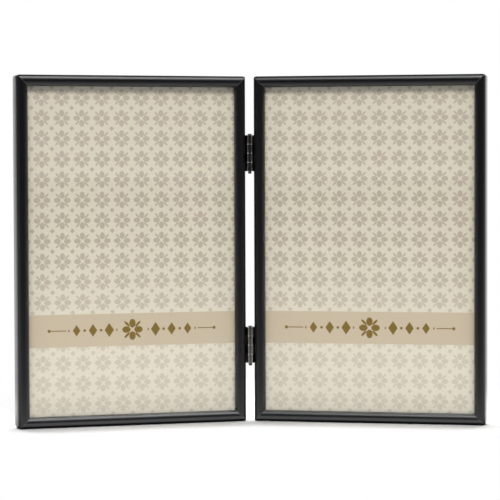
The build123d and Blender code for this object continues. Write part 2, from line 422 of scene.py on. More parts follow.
def rosette(across, up, softness):
    """Four round petals and four thin leaves round a bare middle, about one unit wide."""
    wide = abs(across)
    high = abs(up)
    far = wide.most(high)
    near_axis = wide.least(high)
    petals = oval(far, near_axis, middle=0.245, half_long=0.170, half_wide=0.128).below(1.0, softness)
    slant = (far + near_axis) * math.sqrt(0.5)
    off_slant = (far - near_axis) * math.sqrt(0.5)
    leaves = oval(slant, off_slant, middle=0.315, half_long=0.145, half_wide=0.046).below(1.0, softness)
    return petals.most(leaves)


def band_ornament(off_middle, off_line):
    """Gold ornament in millimetres: a rosette, then lozenges and dots that thin out to a fine rule."""
    flower_width = 11.2
    first = 10.6
    step = 7.4
    last = first + 2.5 * step
    half_wide = 2.1
    half_high = 3.1
    shrink = 0.013
    dot_radius = 0.6
    rule_start = last + 0.9
    rule_end = rule_start + 7.0
    rule_half = 0.2
    end_middle = rule_end + 0.7
    end_radius = math.sqrt(0.5)
    hard_edge = 0.01
    flower = rosette(off_middle / flower_width, off_line / flower_width, softness=0.1)
    cell = (off_middle - first + step / 2) % step - step / 2
    inside = off_middle.rising(first - step / 2, first - step / 2 + hard_edge)
    within = inside * off_middle.below(last, hard_edge)
    size = 1.0 - (off_middle - first) * shrink
    lozenge = (abs(cell) / half_wide + abs(off_line) / half_high).below(size, softness=0.06)
    dot = ((abs(cell) - step / 2) ** 2 + off_line ** 2).below(dot_radius ** 2, softness=0.12)
    on_rule = off_middle.rising(rule_start, rule_start + 0.1) * off_middle.below(rule_end, softness=0.05)
    rule = abs(off_line).below(rule_half, softness=0.07) * on_rule
    end = ((off_middle - end_middle) ** 2 + off_line ** 2).below(end_radius ** 2, softness=0.18)
    return flower.most(lozenge.most(dot) * within).most(rule).most(end)


def card_surface(wire, design):
    """Printed card: rosettes on a straight grid, with a plain band that carries a gold ornament."""
    coords = place_on_piece(wire)
    along, _, height = place_on_leaf(wire)
    across = along - LEAF_MIDDLE.x
    cell_x = across / design.pitch % 1.0 - 0.5
    cell_y = (height - LEAF_MIDDLE.z) / design.pitch % 1.0 - 0.5
    lozenges = ((0.5 - abs(cell_x)) + (0.5 - abs(cell_y))).below(0.125, softness=0.02)
    motif = rosette(cell_x, cell_y, softness=0.22).most(lozenges)

    sharp = 0.06 * MM
    over_band = height - design.band_bottom
    above = (over_band - design.band_height).rising(-sharp, sharp)
    band = over_band.rising(-sharp, sharp) * (1 - above)
    gold = band_ornament(abs(across) / MM, (over_band - design.band_height / 2) / MM) * band

    # Paper darker towards the top and lighter towards the bottom: painted light.
    painted_shade_towards_top = height.rising(LEAF_LOW.z, LEAF_HIGH.z)
    ground = painted_shade_towards_top.blend(solid(design.ground_bottom_lit), solid(design.ground_top_shaded))
    fade = 0.5 + height.rising(30 * MM, 90 * MM) * 0.45
    mottle = coords.noise(0.5 * MM, detail=3)
    patch = coords.noise(14 * MM)
    fibre = coords.noise(0.12 * MM)
    redder = coords.noise(16 * MM).rising(0.38, 0.62)
    ink = motif * fade * (0.72 + mottle * 0.4)
    printed = ink.blend(ground, redder.blend(solid(design.motif), solid(design.motif_warm)))
    gilded = gold.blend(band.blend(printed, solid(design.band)), solid(design.gold))
    shade = (patch * 0.05 + fibre * 0.05 - 0.03).most(0.0)
    return principled(
        wire,
        Base_Color=shade.blend(gilded, solid(design.band)),
        Roughness=0.62 - gold * 0.2,
        Specular_IOR_Level=0.3,
        Normal=fibre.bump(0.006 * MM, strength=0.5),
    )


def glass_surface(wire):
    """Clear pane with a trace of haze."""
    haze = place_on_piece(wire).noise(25 * MM, detail=3)
    return principled(
        wire,
        Base_Color=(0.985, 1.0, 0.99, 1.0),
        Roughness=haze.rising(0.45, 0.9) * 0.03,
        IOR=1.5,
        Transmission_Weight=1.0,
    )


def velvet_surface(wire, backs):
    """Short black pile with lighter brushed patches: painted sheen over the pile's own grain."""
    coords = place_on_piece(wire)
    brushed = coords.noise(22 * MM, detail=4, roughness=0.6).rising(0.45, 0.62)
    pile = coords.noise(0.2 * MM, detail=3, roughness=0.7).rising(0.3, 0.7)
    tufts = coords.noise(0.8 * MM, detail=3, roughness=0.6).rising(0.35, 0.65)
    # Lighter patches where the pile is brushed over: painted sheen, on top of the pile's own grain.
    shade = (0.1 + brushed * 0.3 + tufts * 0.35) * (0.25 + pile * 0.75)
    return principled(
        wire,
        Base_Color=shade.blend(solid(backs.velvet), solid(backs.nap_and_sheen)),
        Roughness=0.88,
        Specular_IOR_Level=0.2,
        Sheen_Weight=0.35,
        Sheen_Roughness=0.35,
        Sheen_Tint=(0.55, 0.55, 0.6, 1.0),
        Normal=(pile * 0.7 + tufts * 0.5).bump(0.12 * MM, strength=0.8),
    )


def board_surface(wire, backs):
    """Pressed brown board with fibres."""
    coords = place_on_piece(wire)
    fibre = coords.noise(0.5 * MM, detail=4, roughness=0.65, stretch=(1, 1, 0.25))
    fleck = coords.noise(2.4 * MM, detail=3)
    dark = [value * 0.45 for value in backs.board]
    return principled(
        wire,
        Base_Color=(fibre * 0.7 + fleck * 0.3).rising(0.3, 0.7).blend(solid(dark), solid(backs.board)),
        Roughness=0.7 + fibre * 0.2,
        Normal=fibre.bump(0.05 * MM, strength=0.6),
    )


def zinc_surface(wire, backs):
    """Zinc plate with cloudy spangle and fine drawing lines."""
    coords = place_on_piece(wire)
    spangle = coords.noise(1.6 * MM, detail=3)
    drawn = coords.noise(0.12 * MM, stretch=(1, 1, 0.1))
    dull = [value * 0.7 for value in backs.zinc]
    return principled(
        wire,
        Base_Color=spangle.rising(0.35, 0.65).blend(solid(dull), solid(backs.zinc)),
        Metallic=1.0,
        Roughness=0.3 + spangle * 0.15 + drawn * 0.1,
        Normal=drawn.bump(0.01 * MM, strength=0.5),
    )


def brass_surface(wire, buttons):
    """Plated brass with tarnish in patches and fine scratches from the thumb."""
    coords = place_on_piece(wire)
    tarnish = coords.noise(1.8 * MM, detail=4, roughness=0.6).rising(0.42, 0.72)
    scratch = coords.noise(0.1 * MM, roughness=0.6, stretch=(0.15, 1, 1))
    specks = coords.noise(0.3 * MM).rising(0.66, 0.74)
    worn = (tarnish * 0.5).most(specks * 0.7)
    return principled(
        wire,
        Base_Color=worn.blend(solid(buttons.brass), solid(buttons.tarnish)),
        Metallic=1.0,
        Roughness=0.2 + tarnish * 0.16 + scratch * 0.12 + specks * 0.15,
        Normal=scratch.bump(0.008 * MM, strength=0.5),
    )


def steel_surface(wire, hinges):
    """Gunmetal with the finish rubbed off in specks and at the ends of the knuckles."""
    barrel = 1.5 * MM
    barrel_edge = 0.4 * MM
    coords = place_on_piece(wire)
    along, behind, height = place_on_leaf(wire)
    low, high = leaf_box("right_upper_hinge_plate")
    from_middle = abs(height - LEAF_MIDDLE.z) - ((low.z + high.z) / 2 - LEAF_MIDDLE.z)
    pitch = (high.z - low.z) / hinges.knuckles
    off_joint = abs((from_middle + pitch / 2) % pitch - pitch / 2)
    on_barrel = (along ** 2 + behind ** 2).below(barrel ** 2, barrel_edge ** 2)
    rub = coords.noise(0.5 * MM, detail=3, roughness=0.6)
    cloud = coords.noise(3.0 * MM, detail=3)
    drawn = coords.noise(0.1 * MM, stretch=(1, 1, 0.12))
    at_joint = off_joint.below(hinges.wear_width, hinges.wear_width * 0.7) * on_barrel
    bare = (at_joint * rub.rising(0.42, 0.58)).most(rub.rising(0.62, 0.74) * 0.5)
    return principled(
        wire,
        Base_Color=bare.blend(solid(hinges.steel), solid(hinges.worn)),
        Metallic=1.0,
        Roughness=0.12 + cloud * 0.08 + drawn * 0.06,
        Normal=drawn.bump(0.006 * MM, strength=0.5),
    )


def rename(piece, name):
    """Name a piece and its mesh."""
    piece.name = name
    piece.data.name = name


def begin(name, add, scale=(1, 1, 1), **settings):
    """Start a piece from a primitive, put its place in its mesh and enter edit mode."""
    bpy.ops.object.select_all(action="DESELECT")
    add(**settings)
    piece = bpy.context.active_object
    rename(piece, name)
    piece.scale = scale
    bpy.ops.object.transform_apply(location=True, rotation=True, scale=True)
    bpy.ops.object.mode_set(mode="EDIT")
    return piece


def begin_rod(name, axis, radius, start, end, steps):
    """Start a piece from a rod on the X, Y or Z axis."""
    turns = {"X": (0, QUARTER_TURN, 0), "Y": (QUARTER_TURN, 0, 0), "Z": (0, 0, 0)}
    middle = [(start + end) / 2 if letter == axis else 0 for letter in turns]
    return begin(
        name,
        bpy.ops.mesh.primitive_cylinder_add,
        vertices=steps,
        radius=radius,
        depth=end - start,
        location=middle,
        rotation=turns[axis],
    )


def near(value, target, within=0.01 * MM):
    """Whether a length is that of the target, give or take a hair."""
    return abs(value - target) < within


def lying_at(**levels):
    """Test for an edge or face whose corners all lie at these levels of x, y or z."""
    def test(item):
        return all(near(getattr(v.co, axis), at) for v in item.verts for axis, at in levels.items())
    return test


def choose(piece, kind, test):
    """Select only the corners, edges or faces that pass the test."""
    bpy.ops.mesh.select_mode(type=kind)
    bpy.ops.mesh.select_all(action="DESELECT")
    shape = bmesh.from_edit_mesh(piece.data)
    items = {"VERT": shape.verts, "EDGE": shape.edges, "FACE": shape.faces}[kind]
    found = [item for item in items if test(item)]
    if not found:
        raise RuntimeError(f"{piece.name}: nothing to select")
    for item in found:
        item.select_set(True)
    shape.select_flush_mode()
    bmesh.update_edit_mesh(piece.data)


def extrude(move):
    """Extrude what is selected by a move."""
    bpy.ops.mesh.extrude_region_move(TRANSFORM_OT_translate={"value": move})


def round_edges(width, segments):
    """Bevel what is selected."""
    bpy.ops.mesh.bevel(offset=width, segments=segments, affect="EDGES")


def cut(point, normal, **settings):
    """Cut all of the piece along a plane."""
    bpy.ops.mesh.select_all(action="SELECT")
    bpy.ops.mesh.bisect(plane_co=point, plane_no=normal, threshold=0.0002 * MM, **settings)


def close_up():
    """Merge what lies together and turn all faces outwards."""
    bpy.ops.mesh.select_mode(type="VERT")
    bpy.ops.mesh.select_all(action="SELECT")
    bpy.ops.mesh.remove_doubles(threshold=0.004 * MM)
    bpy.ops.mesh.normals_make_consistent(inside=False)


def only(piece):
    """Leave edit mode with just this piece selected and active."""
    if bpy.context.mode != "OBJECT":
        bpy.ops.object.mode_set(mode="OBJECT")
    bpy.ops.object.select_all(action="DESELECT")
    piece.select_set(True)
    bpy.context.view_layer.objects.active = piece


def apply_modifier(piece, kind, **settings):
    """Add a modifier, set it up and apply it."""
    only(piece)
    bpy.ops.object.modifier_add(type=kind)
    modifier = piece.modifiers[-1]
    for name, value in settings.items():
        setattr(modifier, name, value)
    bpy.ops.object.modifier_apply(modifier=modifier.name)


def soften(piece, width, segments=2):
    """Round the sharp edges a little."""
    sharp = {"limit_method": "ANGLE", "angle_limit": BEVEL_ANGLE, "use_clamp_overlap": True}
    apply_modifier(piece, "BEVEL", width=width, segments=segments, **sharp)


def discard(piece):
    """Remove a piece that has done its work, with its mesh."""
    mesh = piece.data
    bpy.data.objects.remove(piece)
    bpy.data.meshes.remove(mesh)


def combine(piece, other, operation):
    """Boolean of two pieces; the other one is used up."""
    apply_modifier(piece, "BOOLEAN", object=other, operation=operation, solver="EXACT")
    discard(other)


def copy_of(piece, name):
    """Copy of a piece with its own mesh."""
    copy = piece.copy()
    copy.data = piece.data.copy()
    rename(copy, name)
    bpy.context.scene.collection.objects.link(copy)
    return copy


def settle(piece, matrix):
    """Move a piece to its place, apply that to its mesh, turn its faces outwards and smooth it.

    The large faces lead the smooth shading, so that a small bevel beside one doesn't tilt it.
    """
    only(piece)
    piece.matrix_world = matrix
    bpy.ops.object.transform_apply(location=True, rotation=True, scale=True)
    bpy.ops.object.mode_set(mode="EDIT")
    bpy.ops.mesh.select_all(action="SELECT")
    bpy.ops.mesh.normals_make_consistent(inside=False)
    bpy.ops.object.mode_set(mode="OBJECT")
    bpy.ops.object.shade_smooth_by_angle(angle=SMOOTH_ANGLE)
    apply_modifier(piece, "WEIGHTED_NORMAL", keep_sharp=True)
    return piece


def join(pieces, name):
    """Make several pieces one object."""
    only(pieces[0])
    for piece in pieces:
        piece.select_set(True)
    bpy.ops.object.join()
    rename(pieces[0], name)
    return pieces[0]


def dress(piece, material):
    """Give a finish to a piece, or to a solid part that stays as it is."""
    piece.data.materials.clear()
    piece.data.materials.append(material)


def hand_over(piece, body, slot, material, *nodes):
    """Give a piece its finish, its body and the solid parts that it stands for."""
    dress(piece, material)
    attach(piece, body)
    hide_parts(*nodes)


def model_rail(name, length_along, rails):
    """Rail along X with its outer wall on Z = 0 and its depth along Y, mitred at both ends."""
    radius = (rails.face_width ** 2 / 4 + rails.bead_height ** 2) / (2 * rails.bead_height)
    spare = 2 * MM
    half = length_along / 2
    piece = begin(
        name,
        bpy.ops.mesh.primitive_circle_add,
        vertices=rails.bead_steps,
        radius=radius,
        location=(-half - spare, radius, rails.face_width / 2),
        rotation=(0, QUARTER_TURN, 0),
    )
    cut((0, rails.bead_height, 0), (0, 1, 0), clear_outer=True)
    choose(piece, "VERT", lambda v: near(v.co.y, rails.bead_height) and v.co.z < rails.face_width / 2)
    hem_front = LEAF_DEPTH - rails.hem_thickness
    lip_depth = rails.bead_height + rails.lip_edge
    for move in (
        (0, LEAF_DEPTH - rails.bead_height, 0),
        (0, 0, rails.wall + rails.hem_width),
        (0, -rails.hem_thickness, 0),
        (0, 0, -rails.hem_width),
        (0, lip_depth - hem_front, 0),
        (0, 0, rails.face_width - rails.wall),
        (0, -rails.lip_edge, 0),
    ):
        extrude(move)
    close_up()
    extrude((length_along + 2 * spare, 0, 0))
    choose(piece, "EDGE", lying_at(y=LEAF_DEPTH, z=0))
    round_edges(rails.rear_radius, segments=5)
    for end in (-1, 1):
        mitre_end(rails, end, half)
    close_up()
    soften(piece, rails.edge_softness)
    return piece


def mitre_end(rails, end, half):
    """Cut one end of a rail at 45 degrees and round its outer corner."""
    hairline = rails.mitre_gap * math.sqrt(0.5)
    cut((end * (half - hairline), 0, 0), (end, 0, 1), clear_outer=True, use_fill=True)
    middle = Vector((end * (half - rails.corner_radius), 0, rails.corner_radius))
    for step in range(1, rails.corner_steps + 1):
        turn = (step - 0.5) * math.pi / 4 / rails.corner_steps
        out = Vector((end * math.sin(turn), 0, -math.cos(turn)))
        cut(middle + out * rails.corner_radius, out, clear_outer=True, use_fill=True)


def rail_places():
    """Where the four rails of a leaf go, by name, in the leaf's own frame."""
    spots = {
        "bottom_rail": (LEAF_MIDDLE.x, LEAF_LOW.z, 0),
        "top_rail": (LEAF_MIDDLE.x, LEAF_HIGH.z, 2 * QUARTER_TURN),
        "hinge_rail": (LEAF_LOW.x, LEAF_MIDDLE.z, QUARTER_TURN),
        "outer_rail": (LEAF_HIGH.x, LEAF_MIDDLE.z, -QUARTER_TURN),
    }
    return {
        name: Matrix.Translation((x, LEAF_LOW.y, z)) @ Matrix.Rotation(turn, 4, "Y")
        for name, (x, z, turn) in spots.items()
    }


class PHOTOFRAME_OT_model_rails(bpy.types.Operator):
    """Model the eight mitred rails with their round bead and rear hem"""

    bl_idname = "photo_frame.model_rails"
    bl_label = "Model Rails"

    def execute(self, context):
        rails = context.scene.photo_frame_rails
        lacquer = new_material("black_lacquer", lacquer_surface, rails)
        short = model_rail("short_rail", LEAF_WIDTH, rails)
        tall = model_rail("tall_rail", LEAF_HEIGHT, rails)
        for side in SIDES:
            for name, place in rail_places().items():
                pattern = short if name in ("top_rail", "bottom_rail") else tall
                rail = copy_of(pattern, f"{side}_{name}_lacquered")
                settle(rail, leaf_place(side) @ place)
                hand_over(rail, f"{side}_leaf", "black_lacquer", lacquer, f"{side}_{name}")
        discard(short)
        discard(tall)
        return {"FINISHED"}


class PHOTOFRAME_OT_model_glass(bpy.types.Operator):
    """Model the two panes with ground edges"""

    bl_idname = "photo_frame.model_glass"
    bl_label = "Model Glass"

    def execute(self, context):
        clear = new_material("clear_glass", glass_surface)
        air = 0.03 * MM
        ground_edge = 0.3 * MM
        low, high = leaf_box("right_glass")
        size = high - low - Vector((2 * air, 2 * air, 2 * air))
        pattern = begin(
            "pane", bpy.ops.mesh.primitive_cube_add, size=1, location=(low + high) / 2, scale=size
        )
        bpy.ops.mesh.select_all(action="SELECT")
        round_edges(ground_edge, segments=1)
        only(pattern)
        for side in SIDES:
            pane = settle(copy_of(pattern, f"{side}_glass_pane"), leaf_place(side))
            pane.visible_shadow = False
            pane.visible_diffuse = False
            hand_over(pane, f"{side}_leaf", "clear_glass", clear, f"{side}_glass")
        discard(pattern)
        return {"FINISHED"}


class PHOTOFRAME_OT_finish_prints(bpy.types.Operator):
    """Print the pattern on the two cards"""

    bl_idname = "photo_frame.finish_prints"
    bl_label = "Finish Prints"

    def execute(self, context):
        card = new_material("printed_card", card_surface, context.scene.photo_frame_print)
        for side in SIDES:
            dress(frame["nodes"][f"{side}_print"], card)
        return {"FINISHED"}


class PHOTOFRAME_OT_finish_boards(bpy.types.Operator):
    """Finish the back boards and the corner angles"""

    bl_idname = "photo_frame.finish_boards"
    bl_label = "Finish Boards"

    def execute(self, context):
        backs = context.scene.photo_frame_backs
        board = new_material("hardboard", board_surface, backs)
        zinc = new_material("zinc_steel", zinc_surface, backs)
        for side in SIDES:
            dress(frame["nodes"][f"{side}_back_board"], board)
            dress(frame["nodes"][f"{side}_corner_angles"], zinc)
        return {"FINISHED"}


def button_pivots(side):
    """Pivot of each turn button of a leaf by name, in the leaf's own frame."""
    back = leaf_place(side).inverted()
    names = [f"{level}_{edge}" for level in LEVELS for edge in ("outer", "hinge")]
    return {name: back @ Vector(JOINTS[f"{side}_{name}_turn"]["pos_m"]) for name in names}


class PHOTOFRAME_OT_model_velvet(bpy.types.Operator):
    """Model the velvet on the back boards, drawn in at the rivets"""

    bl_idname = "photo_frame.model_velvet"
    bl_label = "Model Velvet"

    def execute(self, context):
        backs = context.scene.photo_frame_backs
        velvet = new_material("black_velvet", velvet_surface, backs)
        gap = 0.02 * MM
        edge_round = 0.12 * MM
        low, high = leaf_box("right_velvet")
        size = high - low
        pattern = begin(
            "velvet",
            bpy.ops.mesh.primitive_grid_add,
            x_subdivisions=66,
            y_subdivisions=100,
            size=1,
            location=((low.x + high.x) / 2, low.y + gap, (low.z + high.z) / 2),
            rotation=(-QUARTER_TURN, 0, 0),
            scale=(size.x, size.z, 1),
        )
        bpy.ops.mesh.select_all(action="SELECT")
        extrude((0, size.y - gap, 0))
        for pivot in button_pivots("right").values():
            self.dimple(pattern, pivot, high.y, backs)
        close_up()
        soften(pattern, edge_round, segments=3)
        for side in SIDES:
            cover = settle(copy_of(pattern, f"{side}_velvet_cover"), leaf_place(side))
            hand_over(cover, f"{side}_leaf", "black_velvet", velvet, f"{side}_velvet")
        discard(pattern)
        return {"FINISHED"}

    @staticmethod
    def dimple(piece, pivot, top, backs):
        """Draw the rear face in round one rivet."""
        held = 1.6 * MM

        def at_rivet(corner):
            flat = Vector((corner.co.x - pivot.x, corner.co.z - pivot.z))
            return near(corner.co.y, top) and flat.length < held

        choose(piece, "VERT", at_rivet)
        bpy.ops.transform.translate(
            value=(0, -backs.dimple_depth, 0),
            use_proportional_edit=True,
            use_proportional_connected=True,
            proportional_edit_falloff="SMOOTH",
            proportional_size=backs.dimple_reach,
        )


def tab_solid(name, first_radius, second_radius, apart, bottom, top):
    """Flat tab with two round ends, its outline in X and Z and its thickness along Y."""
    piece = begin_rod(name, "Y", first_radius, bottom, top, TAB_STEPS)
    bpy.ops.mesh.primitive_cylinder_add(
        vertices=TAB_STEPS,
        radius=second_radius,
        depth=top - bottom,
        location=(apart, (bottom + top) / 2, 0),
        rotation=(QUARTER_TURN, 0, 0),
    )
    bpy.ops.mesh.select_all(action="SELECT")
    bpy.ops.mesh.convex_hull()
    bpy.ops.mesh.dissolve_limited(angle_limit=FLAT_ANGLE)
    close_up()
    return piece


def model_button(buttons, reach):
    """Stamped tab round its pivot at the origin, tip towards +X, front face on Y = 0."""
    rib_height = 0.4 * MM
    rib_softness = 0.2 * MM
    thick = buttons.thickness
    tip = reach - buttons.tip_radius
    plate = tab_solid("button", buttons.pivot_radius, buttons.tip_radius, tip, 0, thick)
    soften(plate, buttons.edge_softness, segments=3)
    radius = buttons.rib_width / 2
    rib_tip = buttons.rib_length - 2 * radius
    rib = tab_solid("rib", radius, radius, rib_tip, thick / 2, thick + rib_height)
    bpy.ops.mesh.select_all(action="SELECT")
    bpy.ops.transform.translate(value=(buttons.rib_start + radius, 0, 0))
    soften(rib, rib_softness, segments=4)
    combine(plate, rib, "UNION")
    hole = begin_rod("hole", "Y", buttons.hole_radius, -2 * thick, 2 * thick, RIVET_STEPS)
    combine(plate, hole, "DIFFERENCE")
    return plate


class PHOTOFRAME_OT_model_turn_buttons(bpy.types.Operator):
    """Model the eight stamped turn buttons"""

    bl_idname = "photo_frame.model_turn_buttons"
    bl_label = "Model Turn Buttons"

    def execute(self, context):
        buttons = context.scene.photo_frame_buttons
        brass = new_material("button_brass", brass_surface, buttons)
        low, high = leaf_box("right_upper_outer_turn_button")
        pattern = model_button(buttons, high.x - button_pivots("right")["upper_outer"].x)
        for side in SIDES:
            for name, pivot in button_pivots(side).items():
                node = f"{side}_{name}_turn_button"
                turn = 0 if name.endswith("outer") else math.pi
                place = Matrix.Translation((pivot.x, low.y, pivot.z)) @ Matrix.Rotation(turn, 4, "Y")
                button = settle(copy_of(pattern, f"{node}_stamped"), leaf_place(side) @ place)
                hand_over(button, node, "button_brass", brass, node)
        discard(pattern)
        return {"FINISHED"}


def model_rivet(buttons, tail, front, back):
    """Rivet along Y on the Y axis: a shank from the tail in the board to a domed and dimpled head."""
    dome = 0.55 * MM
    rim = 0.45 * MM
    dimple = 0.12 * MM
    softness = 0.06 * MM
    piece = begin_rod("rivet", "Y", buttons.head_radius, front, back, RIVET_STEPS)
    choose(piece, "FACE", lying_at(y=front))
    bpy.ops.mesh.inset(thickness=buttons.head_radius - buttons.shank_radius)
    extrude((0, tail - front, 0))
    choose(piece, "EDGE", lying_at(y=back))
    round_edges(dome, segments=6)
    # The first ring of the dome counts as the top too.
    choose(piece, "FACE", lambda face: near(face.calc_center_median().y, back) and face.normal.y > 0.9)
    bpy.ops.mesh.inset(thickness=rim)
    extrude((0, -dimple, 0))
    close_up()
    soften(piece, softness)
    return piece


class PHOTOFRAME_OT_model_button_rivets(bpy.types.Operator):
    """Model the rivets that the turn buttons swivel on"""

    bl_idname = "photo_frame.model_button_rivets"
    bl_label = "Model Button Rivets"

    def execute(self, context):
        buttons = context.scene.photo_frame_buttons
        brass = bpy.data.materials["button_brass"]
        low, high = leaf_box("right_button_rivets")
        pattern = model_rivet(buttons, low.y, high.y - buttons.head_height, high.y)
        for side in SIDES:
            made = []
            for name, pivot in button_pivots(side).items():
                place = Matrix.Translation((pivot.x, 0, pivot.z))
                made.append(settle(copy_of(pattern, f"{side}_{name}_rivet"), leaf_place(side) @ place))
            rivets = join(made, f"{side}_button_rivets_domed")
            hand_over(rivets, f"{side}_leaf", "button_brass", brass, f"{side}_button_rivets")
        discard(pattern)
        return {"FINISHED"}


def model_hinge_side(node, hinges):
    """Plate with its share of the knuckles, in its leaf's own frame round the hinge axis."""
    points = leaf_points(node)
    low, high = box_of(points)
    height = high.z - low.z
    pitch = height / hinges.knuckles
    front = high.x + hinges.knuckle_clearance
    piece = begin(
        f"{node}_rolled",
        bpy.ops.mesh.primitive_cube_add,
        size=1,
        location=(high.x - hinges.sheet / 2, (front + high.y) / 2, (low.z + high.z) / 2),
        scale=(hinges.sheet, high.y - front, height),
    )

    def rear_corner(edge):
        first, second = edge.verts
        return lying_at(y=high.y)(edge) and near(first.co.z, second.co.z)

    choose(piece, "EDGE", rear_corner)
    round_edges(hinges.plate_corner, segments=6)
    spans = []
    for number in range(hinges.knuckles):
        start = low.z + number * pitch + hinges.knuckle_gap / 2
        end = start + pitch - hinges.knuckle_gap
        if any(p.y < 0 and (near(p.z, start) or near(p.z, end)) for p in points):
            spans.append((start, end))
            for height_of_cut in (start, end):
                cut((0, 0, height_of_cut), (0, 0, 1))

    def on_knuckle(face):
        middle = face.calc_center_median()
        return near(middle.y, front) and any(start < middle.z < end for start, end in spans)

    choose(piece, "FACE", on_knuckle)
    extrude((0, -front, 0))
    bpy.ops.mesh.spin(steps=hinges.steps, angle=hinges.curl, center=(0, 0, 0), axis=(0, 0, 1), dupli=False)
    close_up()
    soften(piece, hinges.edge_softness)
    return piece


def model_hinge_rivet(name, hinges, head, tail):
    """Rivet along X: a head with a shallow dish on the plate and a shank into the rail."""
    rim = 0.35 * MM
    dish = 0.05 * MM
    softness = 0.03 * MM
    piece = begin_rod(name, "X", hinges.rivet_radius, head, tail, hinges.steps)
    choose(piece, "FACE", lying_at(x=head))
    bpy.ops.mesh.inset(thickness=rim)
    extrude((dish, 0, 0))
    close_up()
    soften(piece, softness)
    return piece


def solids_by_height(node):
    """Boxes of a group's separate solids that lie one above the other, in the leaf's own frame."""
    least_gap = 1 * MM
    points = sorted(leaf_points(node), key=lambda p: p.z)
    groups = [[points[0]]]
    for point in points[1:]:
        if point.z - groups[-1][-1].z > least_gap:
            groups.append([])
        groups[-1].append(point)
    return [box_of(group) for group in groups]


class PHOTOFRAME_OT_model_hinges(bpy.types.Operator):
    """Model the rolled hinge plates and their rivets"""

    bl_idname = "photo_frame.model_hinges"
    bl_label = "Model Hinges"

    def execute(self, context):
        hinges = context.scene.photo_frame_hinges
        steel = new_material("hinge_steel", steel_surface, hinges)
        for side in SIDES:
            for level in LEVELS:
                node = f"{side}_{level}_hinge_plate"
                plate = settle(model_hinge_side(node, hinges), leaf_place(side))
                hand_over(plate, f"{side}_leaf", "hinge_steel", steel, node)
            self.rivets(side, hinges, steel)
        return {"FINISHED"}

    @staticmethod
    def rivets(side, hinges, steel):
        """One group of rivets for the two plates of a leaf."""
        node = f"{side}_hinge_rivets"
        made = []
        for number, (low, high) in enumerate(solids_by_height(node)):
            rivet = model_hinge_rivet(f"{node}_{number}", hinges, low.x - hinges.rivet_proud, high.x)
            place = Matrix.Translation((0, (low.y + high.y) / 2, (low.z + high.z) / 2))
            made.append(settle(rivet, leaf_place(side) @ place))
        rivets = join(made, f"{node}_headed")
        hand_over(rivets, f"{side}_leaf", "hinge_steel", steel, node)


def model_pin(name, hinges, head_radius, bottom, top, barrel_bottom, barrel_top):
    """Pin along Z on the Z axis: the shank first, then a head above and a tail below the barrel."""
    play = 0.08 * MM
    tail_radius = 0.8 * MM
    end_round = 0.3 * MM
    softness = 0.05 * MM
    shank_low = barrel_bottom - play
    shank_high = barrel_top + play
    piece = begin_rod(name, "Z", hinges.pin_radius, shank_low, shank_high, hinges.steps)
    for shoulder, end, radius in ((shank_high, top, head_radius), (shank_low, bottom, tail_radius)):
        choose(piece, "FACE", lying_at(z=shoulder))
        extrude((0, 0, 0))
        share = radius / hinges.pin_radius
        bpy.ops.transform.resize(value=(share, share, 1), center_override=(0, 0, shoulder))
        extrude((0, 0, end - shoulder))
        choose(piece, "EDGE", lying_at(z=end))
        round_edges(end_round, segments=5)
    close_up()
    soften(piece, softness)
    return piece


class PHOTOFRAME_OT_model_hinge_pins(bpy.types.Operator):
    """Model the two hinge pins with a round head and an upset tail"""

    bl_idname = "photo_frame.model_hinge_pins"
    bl_label = "Model Hinge Pins"

    def execute(self, context):
        hinges = context.scene.photo_frame_hinges
        steel = bpy.data.materials["hinge_steel"]
        for level in LEVELS:
            node = f"{level}_hinge_pin"
            low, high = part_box(node)
            plate_low, plate_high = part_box(f"right_{level}_hinge_plate")
            pin = model_pin(f"{node}_headed", hinges, high.x, low.z, high.z, plate_low.z, plate_high.z)
            settle(pin, Matrix.Translation((0, AXIS_DEPTH, 0)))
            hand_over(pin, "left_leaf", "hinge_steel", steel, node)
        return {"FINISHED"}


def ray_share(wire, *kinds):
    """1 for rays of these kinds and 0 for all others."""
    path = wire.node("ShaderNodeLightPath").socket.node
    share = 0
    for kind in kinds:
        share = Wire(wire.tree, path.outputs[f"Is {kind} Ray"]).most(share)
    return share


